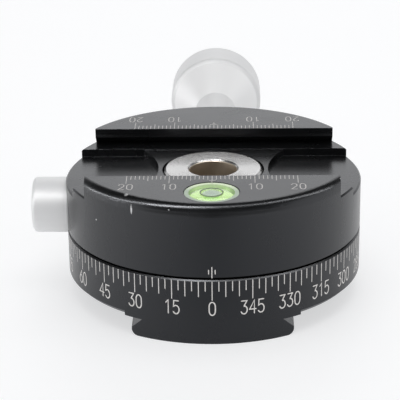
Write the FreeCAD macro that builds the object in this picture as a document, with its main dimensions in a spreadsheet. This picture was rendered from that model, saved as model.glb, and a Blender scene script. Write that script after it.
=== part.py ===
"""Panning clamp: a dovetail plate clamp that turns on a graduated base.

+Z is up along the pan axis, the origin is on that axis at the underside of the dovetail foot.
The plate slides in along X, the jaws close along Y with the clamp knob at +Y, and the pan
lock knob is at -X. Lengths are in millimetres.
"""
import FreeCAD, Part
import math
import os
import types

import Sketcher

SIZES = {
    # round body and dial
    "body_radius": 36.0,
    "dial_top": 16.1,
    "dial_underside": 4.5,
    "dial_chamfer": 1.1,
    "edge_break": 0.35,
    "seam_gap": 0.4,
    # dovetail foot
    "dovetail_half_width": 19.0,
    "foot_land": 1.95,
    "foot_depth": 2.5,
    "foot_fillet": 1.5,
    "foot_neck_half_width": 20.6,
    "foot_shoulder": 1.6,
    # screw thread for the tripod
    "thread_radius": 4.7625,
    "insert_radius": 7.0,
    "insert_length": 9.2,
    "insert_recess": 0.3,
    "insert_chamfer": 0.7,
    # pan journal
    "drum_radius": 11.75,
    "drum_height": 7.9,
    "drum_seat": 3.0,
    "bush_wall": 0.75,
    "running_gap": 0.05,
    "washer_thickness": 0.5,
    "web_thickness": 1.7,
    "slip_inset": 3.0,
    "slip_width": 8.0,
    "slip_depth": 0.5,
    # steel hub
    "hub_flange_radius": 12.04,
    "hub_flange_height": 2.95,
    "hub_shaft_radius": 8.5,
    "hub_bore": 5.75,
    "hub_rim_break": 0.5,
    "hub_pocket_gap": 0.4,
    "hub_foot_z": 11.0,
    "spring_height": 0.55,
    "spring_thickness": 0.3,
    # plate channel and jaws
    "channel_depth": 1.95,
    "rest_height": 30.25,
    "channel_half_width": 13.6,
    "island_half_width": 13.4,
    "island_corner_x": 17.5,
    "island_drop": 0.35,
    "jaw_height": 4.25,
    "jaw_end_trim": 1.79,
    "jaw_round": 1.8,
    "undercut": 2.1,
    "relief": 0.15,
    "slide_gap": 0.05,
    # movable jaw
    "leg_depth": 9.0,
    "leg_bottom": 19.4,
    "back_gap": 2.4,
    "leg_gap": 0.3,
    "spot_depth": 0.5,
    "spot_radius": 6.4,
    # jaw guides
    "pin_spread": 18.0,
    "pin_height": 24.6,
    "pin_radius": 2.5,
    "pin_bore_wall": 3.2,
    "pin_end_gap": 2.8,
    "coil_radius": 3.35,
    "coil_wire": 0.35,
    "coil_turns": 6.0,
    "seat_radius": 4.0,
    "seat_depth": 8.0,
    # clamp screw and knob
    "clamp_height": 26.2,
    "screw_radius": 2.95,
    "screw_chamfer": 0.5,
    "screw_bore_wall": 0.75,
    "screw_end_gap": 2.6,
    "thread_gap": 0.05,
    "clear_gap": 0.35,
    "screw_hold": 8.0,
    "clamp_washer_radius": 6.1,
    "clamp_washer_thickness": 0.8,
    "neck_radius": 5.5,
    "neck_length": 18.8,
    "cone_length": 8.3,
    "shoulder_radius": 11.45,
    "grip_radius": 12.45,
    "grip_length": 12.7,
    "grip_fillet": 1.4,
    "knob_dish_radius": 8.6,
    "knob_dish_depth": 0.8,
    "plug_radius": 3.6,
    "plug_depth": 2.6,
    # pan lock
    "lock_height": 20.8,
    "lock_knob_radius": 6.83,
    "lock_knob_length": 8.15,
    "lock_knob_gap": 0.15,
    "lock_knob_fillet": 1.0,
    "lock_hold": 5.2,
    "stud_radius": 2.95,
    "shoe_length": 5.4,
    "shoe_radius": 2.4,
    "shoe_gap": 0.05,
    "shoe_clearance": 0.08,
    # grub screw that locks the hub thread
    "grub_radius": 1.5,
    "grub_height": 19.6,
    "grub_recess": 0.5,
    # round level
    "level_inset": 8.5,
    "level_radius": 6.35,
    "level_gap": 0.15,
    "level_depth": 6.0,
    "level_proud": 0.15,
    "vial_radius": 5.35,
    "vial_floor": 1.6,
    "lens_thickness": 1.3,
    "lens_rise": 0.55,
    "bubble_radius": 1.9,
    "bubble_height": 0.7,
    "mark_radius": 2.45,
    "mark_width": 0.3,
    "mark_thickness": 0.12,
}


class Measure:
    """A length that keeps the spreadsheet formula it comes from beside its number."""

    def __init__(self, number, formula=""):
        self.number = float(number)
        self.formula = formula or repr(float(number))

    def join(self, other, sign, number):
        return Measure(number, f"({self.formula} {sign} {other.formula})")

    def __add__(self, other):
        other = measure(other)
        return self.join(other, "+", self.number + other.number)

    def __sub__(self, other):
        other = measure(other)
        return self.join(other, "-", self.number - other.number)

    def __mul__(self, other):
        other = measure(other)
        return self.join(other, "*", self.number * other.number)

    def __truediv__(self, other):
        other = measure(other)
        return self.join(other, "/", self.number / other.number)

    def __radd__(self, other):
        return measure(other) + self

    def __rsub__(self, other):
        return measure(other) - self

    def __rmul__(self, other):
        return measure(other) * self

    def __neg__(self):
        return Measure(-self.number, f"(0 - {self.formula})")

    def root(self):
        return Measure(math.sqrt(self.number), f"sqrt({self.formula})")


def measure(value):
    """Plain numbers join a formula as they are."""
    return value if isinstance(value, Measure) else Measure(value)


def chord(radius, distance):
    """Half the chord of a circle at a distance from its centre."""
    return (radius * radius - distance * distance).root()


doc = FreeCAD.newDocument("PanningClamp")
sheet = doc.addObject("Spreadsheet::Sheet", "Sizes")
for row, (alias, number) in enumerate(SIZES.items(), start=1):
    sheet.set(f"A{row}", alias)
    sheet.set(f"B{row}", str(number))
    sheet.setAlias(f"B{row}", alias)
doc.recompute()
size = types.SimpleNamespace(
    **{alias: Measure(number, f"Sizes.{alias}") for alias, number in SIZES.items()}
)

# heights and places that follow from the sizes
body_bottom = size.dial_top + size.seam_gap
floor_height = size.rest_height - size.channel_depth
island_height = size.rest_height - size.island_drop
jaw_top = size.rest_height + size.jaw_height
notch = size.dovetail_half_width
lip = notch - size.undercut
jaw_end = chord(size.body_radius, lip) - size.jaw_end_trim
lip_bottom = size.rest_height + size.undercut
drum_top = size.dial_top + size.drum_height
cavity_top = drum_top + size.washer_thickness
web_top = cavity_top + size.web_thickness
flange_bottom = web_top + size.spring_height + size.washer_thickness
hub_top = flange_bottom + size.hub_flange_height
hub_pocket = size.hub_flange_radius + size.hub_pocket_gap
cavity_radius = size.drum_radius + size.running_gap + size.bush_wall
web_hole = size.hub_shaft_radius + size.hub_pocket_gap
slip_bottom = size.dial_top - size.slip_depth
slip_outer = size.body_radius - size.slip_inset
slip_inner = slip_outer - size.slip_width
drum_seat = size.dial_top - size.drum_seat
leg_inner = size.body_radius - size.leg_depth
back_face = leg_inner - size.back_gap
stud_hole = size.stud_radius + size.thread_gap
stud_end = size.drum_radius + size.shoe_length + size.shoe_gap
pin_blind = stud_hole + size.pin_bore_wall
screw_blind = cavity_radius + size.screw_bore_wall
level_y = size.body_radius - size.level_inset
shelf_height = size.leg_bottom - size.leg_gap
jaw_bottom = size.rest_height + size.slide_gap
spot_face = size.body_radius - size.spot_depth
knob_start = spot_face + size.clamp_washer_thickness
far = size.body_radius * 2

PLANES = {"XY": "XY_Plane", "XZ": "XZ_Plane", "YZ": "YZ_Plane"}


def new_body(label):
    """A body for one piece, named by its label."""
    body = doc.addObject("PartDesign::Body", label)
    body.Label = label
    return body


def lay(feature, body, plane, offset=None):
    """Lay a sketch or a primitive on one of the body's own origin planes."""
    support = [item for item in body.Origin.OriginFeatures if item.Role == PLANES[plane]]
    feature.AttachmentSupport = [(support[0], "")]
    feature.MapMode = "FlatFace"
    for axis, value in zip("xyz", offset or ()):
        value = measure(value)
        if value.number != 0 or "Sizes" in value.formula:
            feature.setExpression(f".AttachmentOffset.Base.{axis}", value.formula)


def pin_point(sketch, curve, end, across, up):
    """Hold one point of a sketch at its two measures."""
    for kind, value in (("DistanceX", across), ("DistanceY", up)):
        value = measure(value)
        index = sketch.addConstraint(Sketcher.Constraint(kind, -1, 1, curve, end, value.number))
        if "Sizes" in value.formula:
            sketch.setExpression(f"Constraints[{index}]", value.formula)


def outline(body, name, plane, corners, offset=None):
    """A closed outline of straight sides through its corners."""
    sketch = body.newObject("Sketcher::SketchObject", name)
    lay(sketch, body, plane, offset)
    points = [FreeCAD.Vector(measure(a).number, measure(b).number, 0) for a, b in corners]
    for start, end in zip(points, points[1:] + points[:1]):
        sketch.addGeometry(Part.LineSegment(start, end))
    for side in range(len(points)):
        following = (side + 1) % len(points)
        sketch.addConstraint(Sketcher.Constraint("Coincident", side, 2, following, 1))
    for side, (across, up) in enumerate(corners):
        pin_point(sketch, side, 1, across, up)
    return sketch


def circles(body, name, plane, rings, offset=None):
    """A sketch of whole circles, each given as its centre and radius."""
    sketch = body.newObject("Sketcher::SketchObject", name)
    lay(sketch, body, plane, offset)
    for index, (across, up, radius) in enumerate(rings):
        centre = FreeCAD.Vector(measure(across).number, measure(up).number, 0)
        sketch.addGeometry(Part.Circle(centre, FreeCAD.Vector(0, 0, 1), radius.number))
        pin_point(sketch, index, 3, across, up)
        number = sketch.addConstraint(Sketcher.Constraint("Radius", index, radius.number))
        sketch.setExpression(f"Constraints[{number}]", radius.formula)
    return sketch


def box_outline(body, name, plane, low, high, offset=None):
    """A rectangle from its low corner to its high corner."""
    corners = [low, (high[0], low[1]), high, (low[0], high[1])]
    return outline(body, name, plane, corners, offset)


def turn(body, name, sketch, axis="V_Axis", cut=False):
    """A full turn of a sketch about its own upright or level axis."""
    feature = body.newObject("PartDesign::Groove" if cut else "PartDesign::Revolution", name)
    feature.Profile = sketch
    feature.ReferenceAxis = (sketch, [axis])
    feature.Angle = 360
    return feature


def pad(body, name, sketch, length, both=False):
    """A straight extrusion of a sketch."""
    feature = body.newObject("PartDesign::Pad", name)
    feature.Profile = sketch
    feature.setExpression("Length", measure(length).formula)
    feature.Midplane = both
    return feature


def pocket(body, name, sketch, length, both=False, reverse=False):
    """A straight cut; it must take material away."""
    doc.recompute()
    before = body.Shape.Volume
    feature = body.newObject("PartDesign::Pocket", name)
    feature.Profile = sketch
    feature.setExpression("Length", measure(length).formula)
    feature.Midplane = both
    feature.Reversed = reverse
    doc.recompute()
    if body.Shape.Volume > before - 0.01:
        raise RuntimeError(f"{body.Label}: {name} cuts nothing")
    return feature


def drill(body, name, plane, across, up, start, radius, depth, add=False):
    """A round hole, or a round pin, square to a plane from its start along the plane's normal."""
    doc.recompute()
    before = body.Shape.Volume if body.Shape.Solids else 0
    kind = "PartDesign::AdditiveCylinder" if add else "PartDesign::SubtractiveCylinder"
    feature = body.newObject(kind, name)
    lay(feature, body, plane, (across, up, start))
    feature.setExpression("Radius", measure(radius).formula)
    feature.setExpression("Height", measure(depth).formula)
    doc.recompute()
    if not add and body.Shape.Volume > before - 0.001:
        raise RuntimeError(f"{body.Label}: {name} cuts nothing")
    return feature


def soften(body, name, kind, amount, wanted):
    """Chamfer or fillet every edge that the test picks out."""
    doc.recompute()
    base = body.Tip
    edges = [f"Edge{i}" for i, edge in enumerate(base.Shape.Edges, start=1) if wanted(edge)]
    if not edges:
        raise RuntimeError(f"{body.Label}: {name} finds no edge")
    feature = body.newObject(f"PartDesign::{kind}", name)
    feature.Base = (base, edges)
    feature.setExpression("Size" if kind == "Chamfer" else "Radius", measure(amount).formula)
    return feature


def place(body, x=0, y=0, z=0):
    """Set a body's own frame in the part."""
    for axis, value in zip("xyz", (x, y, z)):
        value = measure(value)
        if "Sizes" in value.formula:
            body.setExpression(f".Placement.Base.{axis}", value.formula)


def near(number, target):
    return abs(number - measure(target).number) < 0.01


def ring_edge(edge, radius, height):
    """Whether an edge is an arc of this radius about the pan axis at this height."""
    curve = edge.Curve
    if not isinstance(curve, Part.Circle):
        return False
    upright = near(abs(curve.Axis.z), 1) and near(curve.Center.z, height)
    return upright and near(curve.Radius, radius) and near(math.hypot(*curve.Center[:2]), 0)


def collar(label, inner, outer, bottom, top):
    """A plain turned ring about the pan axis."""
    body = new_body(label)
    turn(body, "Turned", box_outline(body, "Section", "XZ", (inner, bottom), (outer, top)))
    return body


# base that stays on the tripod

def make_dial_base():
    """Turned dial disc with the seat for the drum, and the dovetail foot milled below."""
    body = new_body("dial_base")
    half = size.dovetail_half_width
    waist = half - size.foot_depth
    flank_top = size.foot_land + size.foot_depth
    block_top = size.dial_underside + size.foot_shoulder
    foot_section = [
        (-half, 0), (half, 0), (half, size.foot_land), (waist, flank_top),
        (waist, size.dial_underside), (size.foot_neck_half_width, size.dial_underside),
        (size.foot_neck_half_width, block_top), (-size.foot_neck_half_width, block_top),
        (-size.foot_neck_half_width, size.dial_underside), (-waist, size.dial_underside),
        (-waist, flank_top), (-half, size.foot_land),
    ]
    section = outline(body, "FootSection", "XZ", foot_section)
    pad(body, "Foot", section, far * 1.2, both=True)
    soften(body, "FootCorners", "Fillet", size.foot_fillet, lambda edge: (
        near(edge.BoundBox.ZMax, 0) and near(edge.BoundBox.XLength, 0)
    ))
    around = circles(body, "RoundEnds", "XY", [(0, 0, size.body_radius), (0, 0, far)])
    pocket(body, "RoundedEnds", around, block_top + 1, reverse=True)
    rim_start = size.dial_underside + size.dial_chamfer
    disc_section = [
        (0, size.dial_underside), (size.body_radius - size.dial_chamfer, size.dial_underside),
        (size.body_radius, rim_start), (size.body_radius, size.dial_top - size.edge_break),
        (size.body_radius - size.edge_break, size.dial_top), (slip_outer, size.dial_top),
        (slip_outer, slip_bottom), (slip_inner, slip_bottom),
        (slip_inner, size.dial_top), (0, size.dial_top),
    ]
    turn(body, "Disc", outline(body, "DiscSection", "XZ", disc_section))
    bore_step = size.insert_recess + size.insert_length
    bores = [
        (0, -1), (size.insert_radius, -1), (size.insert_radius, bore_step),
        (size.hub_shaft_radius, bore_step), (size.hub_shaft_radius, drum_seat),
        (size.drum_radius, drum_seat), (size.drum_radius, size.dial_top + 1),
        (0, size.dial_top + 1),
    ]
    turn(body, "Bores", outline(body, "BoreSection", "XZ", bores), cut=True)
    return body


def make_pan_drum():
    """Turned drum, pressed into the disc, that carries the clamp's bearing and the hub."""
    body = collar("pan_drum", size.hub_shaft_radius, size.drum_radius, drum_seat, drum_top)
    drill(body, "GrubHole", "XZ", 0, size.grub_height, -size.drum_radius - 1,
          size.grub_radius, size.drum_radius + 1 - size.hub_shaft_radius / 2)
    return body


def make_mount_insert():
    """Steel bush with the tripod thread, pressed into the foot."""
    body = new_body("mount_insert")
    top = size.insert_recess + size.insert_length
    lead = size.thread_radius + size.insert_chamfer
    section = [
        (lead, size.insert_recess), (size.insert_radius, size.insert_recess),
        (size.insert_radius, top), (size.thread_radius, top),
        (size.thread_radius, size.insert_recess + size.insert_chamfer),
    ]
    turn(body, "Turned", outline(body, "Section", "XZ", section))
    return body


def make_pan_hub():
    """Steel hub that screws into the drum; its flange holds the clamp down."""
    body = new_body("pan_hub")
    rim = size.hub_rim_break
    section = [
        (size.hub_bore, size.hub_foot_z), (size.hub_shaft_radius, size.hub_foot_z),
        (size.hub_shaft_radius, flange_bottom), (size.hub_flange_radius, flange_bottom),
        (size.hub_flange_radius, hub_top - rim), (size.hub_flange_radius - rim, hub_top),
        (size.hub_bore + rim, hub_top), (size.hub_bore, hub_top - rim),
    ]
    turn(body, "Turned", outline(body, "Section", "XZ", section))
    return body


def make_hub_lock_screw():
    """Grub screw through the drum wall onto the hub's thread."""
    body = new_body("hub_lock_screw")
    outer = size.drum_radius - size.grub_recess
    drill(body, "Stem", "XZ", 0, 0, -outer, size.grub_radius,
          outer - size.hub_shaft_radius, add=True)
    place(body, z=size.grub_height)
    return body


def make_disc_spring():
    """Conical spring washer that preloads the pan bearing."""
    body = new_body("disc_spring")
    inner = size.hub_shaft_radius + size.hub_pocket_gap
    outer = size.hub_flange_radius - size.hub_pocket_gap
    rise = size.spring_height - size.spring_thickness
    section = [
        (inner, web_top + rise), (outer, web_top), (outer, web_top + size.spring_thickness),
        (inner, web_top + size.spring_height),
    ]
    turn(body, "Turned", outline(body, "Section", "XZ", section))
    return body


# clamp that turns on the base

def make_upper_body():
    """Round clamp body, turned first and then milled from above, behind and beside."""
    body = new_body("upper_body")
    blank = [
        (cavity_radius, body_bottom), (size.body_radius - size.edge_break, body_bottom),
        (size.body_radius, body_bottom + size.edge_break),
        (size.body_radius, jaw_top), (hub_pocket, jaw_top),
        (hub_pocket, web_top), (web_hole, web_top), (web_hole, cavity_top),
        (cavity_radius, cavity_top),
    ]
    turn(body, "Turned", outline(body, "TurnedSection", "XZ", blank))
    soften(body, "JawRound", "Fillet", size.jaw_round,
           lambda edge: ring_edge(edge, size.body_radius, jaw_top))
    above = [
        (-far, -far), (-jaw_end, -far), (-jaw_end, -lip),
        (jaw_end, -lip), (jaw_end, -far), (far, -far),
        (far, far), (-far, far),
    ]
    rest_plan = outline(body, "RestPlan", "XY", above, (0, 0, jaw_top))
    pocket(body, "PlateRest", rest_plan, size.jaw_height)
    soften(body, "LedgeRim", "Chamfer", size.edge_break,
           lambda edge: ring_edge(edge, size.body_radius, size.rest_height))
    groove = [
        (-lip + 1, size.rest_height), (-lip, size.rest_height),
        (-lip, size.rest_height - size.relief), (-notch, size.rest_height - size.relief),
        (-notch, size.rest_height), (-lip, lip_bottom), (-lip + 1, lip_bottom),
    ]
    section = outline(body, "UndercutSection", "YZ", groove)
    pocket(body, "JawUndercut", section, jaw_end * 2, both=True)
    side = size.channel_half_width
    island = box_outline(body, "IslandPlan", "XY", (-far, -side), (far, side),
                         (0, 0, size.rest_height))
    pocket(body, "IslandTop", island, size.island_drop)
    mill_channels(body)
    soften(body, "FloorRim", "Chamfer", size.edge_break,
           lambda edge: ring_edge(edge, size.body_radius, floor_height))
    rear = box_outline(body, "RearPlan", "XY", (-far, back_face), (far, far),
                       (0, 0, size.rest_height))
    pocket(body, "JawLegSpace", rear, size.rest_height - shelf_height)
    drill_guides(body)
    drill(body, "ClampThread", "XZ", 0, size.clamp_height, -back_face - 1,
          size.screw_radius + size.thread_gap, back_face + 1 - screw_blind)
    drill(body, "StudThread", "YZ", 0, size.lock_height, -size.body_radius - 1, stud_hole,
          size.body_radius + 1 - stud_end)
    drill(body, "ShoeBore", "YZ", 0, size.lock_height, -size.body_radius,
          size.shoe_radius + size.running_gap, size.body_radius - size.drum_radius)
    drill(body, "LevelPocket", "XY", 0, -level_y, jaw_top - size.level_depth,
          size.level_radius + size.level_gap, size.level_depth + 1)
    return body


def mill_channels(body):
    """Two open recesses beside the hub, whose inner ends bow towards it."""
    side = size.channel_half_width
    reach = size.island_corner_x - size.island_half_width
    bow = (side * side + reach * reach) / (2 * reach)
    for name, hand in (("LeftChannel", -1), ("RightChannel", 1)):
        sketch = body.newObject("Sketcher::SketchObject", f"{name}Plan")
        lay(sketch, body, "XY", (0, 0, size.rest_height))
        centre = hand * (size.island_half_width + bow)
        corner = hand * size.island_corner_x
        outer = hand * (size.body_radius + 4)
        middle = FreeCAD.Vector(centre.number, 0, 0)
        swing = math.atan2(side.number, abs(centre.number - corner.number))
        facing = math.pi if hand > 0 else 0.0
        bowed = Part.Circle(middle, FreeCAD.Vector(0, 0, 1), bow.number)
        sketch.addGeometry(Part.ArcOfCircle(bowed, facing - swing, facing + swing))
        ends = [sketch.getPoint(0, 2), sketch.getPoint(0, 1)]
        top, bottom = (1, 2) if ends[1].y > ends[0].y else (2, 1)
        high = FreeCAD.Vector(corner.number, side.number, 0)
        low = FreeCAD.Vector(corner.number, -side.number, 0)
        out_high = FreeCAD.Vector(outer.number, side.number, 0)
        out_low = FreeCAD.Vector(outer.number, -side.number, 0)
        for start, end in ((high, out_high), (out_high, out_low), (out_low, low)):
            sketch.addGeometry(Part.LineSegment(start, end))
        for first, end, second, start in ((0, top, 1, 1), (1, 2, 2, 1), (2, 2, 3, 1),
                                          (3, 2, 0, bottom)):
            sketch.addConstraint(Sketcher.Constraint("Coincident", first, end, second, start))
        pin_point(sketch, 1, 1, corner, side)
        pin_point(sketch, 2, 1, outer, side)
        pin_point(sketch, 3, 1, outer, -side)
        pin_point(sketch, 3, 2, corner, -side)
        radius = sketch.addConstraint(Sketcher.Constraint("Radius", 0, bow.number))
        sketch.setExpression(f"Constraints[{radius}]", bow.formula)
        pocket(body, name, sketch, size.channel_depth)


def drill_guides(body):
    """Blind bores for the guide pins, each with a wider seat for its spring."""
    for hand, side in ((-1, "Left"), (1, "Right")):
        across = hand * size.pin_spread
        drill(body, f"{side}PinBore", "XZ", across, size.pin_height, -back_face - 1,
              size.pin_radius + size.running_gap, back_face + 1 - pin_blind)
        drill(body, f"{side}SpringSeat", "XZ", across, size.pin_height, -back_face - 1,
              size.seat_radius, size.seat_depth + 1)


# movable jaw and its screw

def make_movable_jaw():
    """Jaw plate with its undercut lip, and the leg that hangs behind the body."""
    body = new_body("movable_jaw")
    blank = [
        (0, size.leg_bottom), (size.body_radius, size.leg_bottom),
        (size.body_radius, jaw_top), (0, jaw_top),
    ]
    turn(body, "Turned", outline(body, "TurnedSection", "XZ", blank))
    soften(body, "JawRound", "Fillet", size.jaw_round,
           lambda edge: ring_edge(edge, size.body_radius, jaw_top))
    front = box_outline(body, "FrontPlan", "XY", (-far, -far), (far, lip),
                        (0, 0, jaw_top))
    pocket(body, "LipFace", front, jaw_top - size.leg_bottom)
    for name, hand in (("LeftEnd", -1), ("RightEnd", 1)):
        ends = sorted((hand * jaw_end, hand * far), key=float_of)
        plan = box_outline(body, f"{name}Plan", "XY", (ends[0], -far), (ends[1], far),
                           (0, 0, jaw_top))
        pocket(body, name, plan, jaw_top - size.leg_bottom)
    under = box_outline(body, "UnderPlan", "XY", (-far, 0), (far, leg_inner),
                        (0, 0, jaw_bottom))
    pocket(body, "PlateUnderside", under, jaw_bottom - size.leg_bottom)
    groove = [
        (lip - 1, jaw_bottom), (notch - size.slide_gap, jaw_bottom),
        (lip, lip_bottom), (lip - 1, lip_bottom),
    ]
    pocket(body, "JawUndercut", outline(body, "UndercutSection", "YZ", groove), far, both=True)
    drill(body, "ScrewHole", "XZ", 0, size.clamp_height, -size.body_radius - 1,
          size.screw_radius + size.clear_gap, size.body_radius + 2 - leg_inner)
    drill(body, "WasherSeat", "XZ", 0, size.clamp_height, -size.body_radius - 1,
          size.spot_radius, size.spot_depth + 1)
    for hand, side in ((-1, "Left"), (1, "Right")):
        drill(body, f"{side}PinHole", "XZ", hand * size.pin_spread, size.pin_height,
              -size.body_radius, size.pin_radius, size.body_radius + 1 - leg_inner)
    return body


def float_of(value):
    return measure(value).number


def make_guide_pin(side, hand):
    """Steel pin pressed into the leg and trimmed to its round back."""
    body = new_body(f"guide_pin_{side}")
    back = chord(size.body_radius, size.pin_spread + size.pin_radius)
    drill(body, "Pin", "XZ", 0, 0, -back, size.pin_radius, back - (pin_blind + size.pin_end_gap), add=True)
    place(body, x=hand * size.pin_spread, z=size.pin_height)
    return body


def make_jaw_spring(side, hand):
    """Compression coil round a guide pin, wound through quarter turns."""
    wire_radius = sheet.get("coil_wire")
    radius = sheet.get("coil_radius")
    turns = sheet.get("coil_turns")
    start = back_face.number - size.seat_depth.number + wire_radius
    end = leg_inner.number - wire_radius
    steps = 4 * int(round(turns))

    def point(share):
        angle = 2 * math.pi * turns * share
        along = start + (end - start) * share
        return FreeCAD.Vector(radius * math.cos(angle), along, radius * math.sin(angle))

    quarters = []
    for step in range(steps):
        stops = (step / steps, (step + 0.5) / steps, (step + 1) / steps)
        quarters.append(Part.Arc(*[point(stop) for stop in stops]).toShape())
    path = Part.Wire(quarters)
    tangent = quarters[0].tangentAt(quarters[0].FirstParameter)
    circle = Part.Wire(Part.makeCircle(wire_radius, point(0), tangent))
    coil = Part.BRepOffsetAPI.MakePipeShell(path)
    coil.add(circle)
    coil.build()
    coil.makeSolid()
    feature = doc.addObject("Part::Feature", f"jaw_spring_{side}")
    feature.Label = f"jaw_spring_{side}"
    feature.Shape = coil.shape()
    across = hand * sheet.get("pin_spread")
    feature.Placement = FreeCAD.Placement(
        FreeCAD.Vector(across, 0, sheet.get("pin_height")), FreeCAD.Rotation()
    )
    pitch = (end - start) / turns
    print(f"jaw spring {side}: least gap between turns {pitch - 2 * wire_radius:.2f} mm")
    return feature


def make_clamp_screw():
    """Steel screw that draws the jaw in."""
    body = new_body("clamp_screw")
    tip = screw_blind + size.screw_end_gap
    end = knob_start + size.neck_length + size.screw_hold
    lead = size.screw_radius - size.screw_chamfer
    section = [
        (tip, 0), (tip, lead), (tip + size.screw_chamfer, size.screw_radius),
        (end, size.screw_radius), (end, 0),
    ]
    turn(body, "Turned", outline(body, "Section", "YZ", section), "H_Axis")
    place(body, z=size.clamp_height)
    return body


def make_clamp_washer():
    """Bronze washer between the jaw and the knob."""
    body = new_body("clamp_washer")
    inner = size.screw_radius + size.clear_gap / 2
    section = box_outline(body, "Section", "YZ", (spot_face, inner),
                          (knob_start, size.clamp_washer_radius))
    turn(body, "Turned", section, "H_Axis")
    place(body, z=size.clamp_height)
    return body


def make_clamp_knob():
    """Turned knob: a long neck, a cone and a broad smooth grip."""
    body = new_body("clamp_knob")
    cone_start = knob_start + size.neck_length
    cone_end = cone_start + size.cone_length
    end = cone_end + size.grip_length
    screw_end = cone_start + size.screw_hold
    dish = end - size.knob_dish_depth
    section = [
        (knob_start, size.screw_radius), (knob_start, size.neck_radius),
        (cone_start, size.neck_radius), (cone_end, size.shoulder_radius),
        (cone_end + (size.grip_radius - size.shoulder_radius), size.grip_radius),
        (end, size.grip_radius), (end, size.knob_dish_radius),
        (dish, size.knob_dish_radius - size.knob_dish_depth), (dish, size.plug_radius),
        (dish - size.plug_depth, size.plug_radius), (dish - size.plug_depth, 0),
        (screw_end, 0), (screw_end, size.screw_radius),
    ]
    turn(body, "Turned", outline(body, "Section", "YZ", section), "H_Axis")
    soften(body, "GripRounds", "Fillet", size.grip_fillet, lambda edge: (
        isinstance(edge.Curve, Part.Circle) and near(edge.Curve.Radius, size.grip_radius)
    ))
    place(body, z=size.clamp_height)
    return body


def make_knob_plug():
    """Cap that closes the knob's outer end over the screw."""
    body = new_body("knob_plug")
    end = knob_start + size.neck_length + size.cone_length + size.grip_length
    dish = end - size.knob_dish_depth
    drill(body, "Plug", "XZ", 0, 0, -dish, size.plug_radius, size.plug_depth, add=True)
    soften(body, "PlugRim", "Chamfer", size.edge_break, lambda edge: (
        isinstance(edge.Curve, Part.Circle) and near(edge.Curve.Center.y, dish)
    ))
    place(body, z=size.clamp_height)
    return body


# pan lock

def make_lock_knob():
    """Small smooth knob of the pan lock."""
    body = new_body("pan_lock_knob")
    start = size.body_radius + size.lock_knob_gap
    end = start + size.lock_knob_length
    section = [
        (-start, size.stud_radius), (-start - size.lock_hold, size.stud_radius),
        (-start - size.lock_hold, 0), (-end, 0), (-end, size.lock_knob_radius),
        (-start, size.lock_knob_radius),
    ]
    turn(body, "Turned", outline(body, "Section", "XZ", section), "H_Axis")
    soften(body, "OuterRound", "Fillet", size.lock_knob_fillet, lambda edge: (
        isinstance(edge.Curve, Part.Circle) and near(edge.Curve.Center.x, -end)
        and near(edge.Curve.Radius, size.lock_knob_radius)
    ))
    place(body, z=size.lock_height)
    return body


def make_lock_stud():
    """Threaded stud of the pan lock knob."""
    body = new_body("pan_lock_stud")
    end = size.body_radius + size.lock_knob_gap + size.lock_hold
    section = [
        (-stud_end, 0), (-stud_end, size.stud_radius - size.screw_chamfer),
        (-stud_end - size.screw_chamfer, size.stud_radius), (-end, size.stud_radius),
        (-end, 0),
    ]
    turn(body, "Turned", outline(body, "Section", "XZ", section), "H_Axis")
    place(body, z=size.lock_height)
    return body


def make_brake_shoe():
    """Brass shoe whose hollow end grips the drum."""
    body = new_body("brake_shoe")
    outer = stud_end - size.shoe_gap
    drill(body, "Stem", "YZ", 0, size.lock_height, -outer, size.shoe_radius,
          outer - size.drum_radius / 2, add=True)
    grip = size.drum_radius + size.shoe_clearance
    hollow = circles(body, "DrumPlan", "XY", [(0, 0, grip)])
    pocket(body, "DrumHollow", hollow, jaw_top, reverse=True)
    return body


def make_pan_bush():
    """Bearing sleeve between the drum and the body, open where the brake shoe passes."""
    body = collar("pan_bush", size.drum_radius + size.running_gap, cavity_radius,
                  body_bottom, cavity_top - size.washer_thickness)
    drill(body, "ShoeHole", "YZ", 0, size.lock_height, -size.body_radius,
          size.shoe_radius + size.running_gap, size.body_radius)
    return body


# round level in the fixed jaw

def level_collar(label, section):
    """A turned piece about the level's own axis."""
    body = new_body(label)
    turn(body, "Turned", outline(body, "Section", "XZ", section))
    place(body, y=-level_y)
    return body


def make_level():
    """Cup, liquid, bubble, centring ring and clear lens of the round level."""
    bottom = jaw_top - size.level_depth
    rim = jaw_top - size.level_proud
    well = bottom + size.vial_floor
    lens_bottom = rim - size.lens_thickness
    crown = rim - size.lens_thickness + size.lens_rise
    bubble_bottom = lens_bottom - size.bubble_height
    level_collar("level_cup", [
        (0, bottom), (size.level_radius, bottom), (size.level_radius, rim),
        (size.vial_radius, rim), (size.vial_radius, well), (0, well),
    ])
    level_collar("level_liquid", [
        (0, well), (size.vial_radius, well), (size.vial_radius, lens_bottom),
        (size.bubble_radius, lens_bottom), (size.bubble_radius, bubble_bottom),
        (0, bubble_bottom),
    ])
    level_collar("level_bubble", [
        (0, bubble_bottom), (size.bubble_radius, bubble_bottom),
        (size.bubble_radius, lens_bottom), (0, lens_bottom),
    ])
    level_collar("level_lens", [
        (0, lens_bottom), (size.vial_radius, lens_bottom),
        (size.vial_radius, crown), (size.vial_radius / 2, rim - size.edge_break / 2),
        (0, rim),
    ])
    level_collar("level_ring", [
        (size.mark_radius, rim), (size.mark_radius + size.mark_width, rim),
        (size.mark_radius + size.mark_width, rim + size.mark_thickness),
        (size.mark_radius, rim + size.mark_thickness),
    ])


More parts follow.
